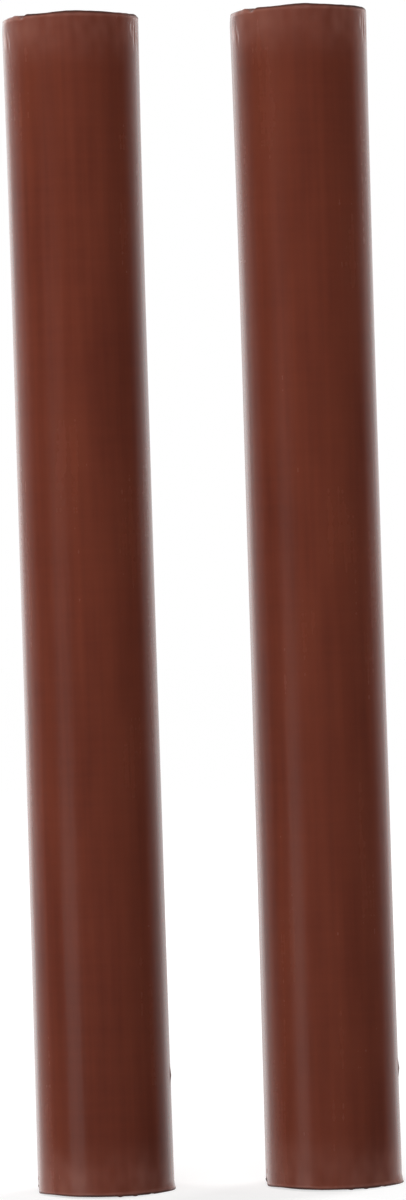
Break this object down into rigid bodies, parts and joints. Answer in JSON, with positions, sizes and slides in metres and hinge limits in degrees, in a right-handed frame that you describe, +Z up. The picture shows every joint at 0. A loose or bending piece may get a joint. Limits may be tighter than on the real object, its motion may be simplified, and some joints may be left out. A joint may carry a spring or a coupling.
{
  "type": "wax filler sticks",
  "caption": "Pair of solid round sticks of brown filler wax with chopped flat ends, for melting or rubbing into scratches, dents and holes in wood.",
  "frame": {"origin": "on the surface that the sticks stand on, midway between the two feet", "axes": "+Z up along the sticks, +X from the left stick to the right stick, and -Y towards the viewer of the picture"},
  "size_m": [0.0298, 0.0112, 0.0957],
  "materials": {
    "wax": "satin drawn wax, brown, with slightly rougher and darker chopped ends"
  },
  "bodies": {
    "root": {"left_wax_stick": "wax", "right_wax_stick": "wax"}
  },
  "joints": []
}
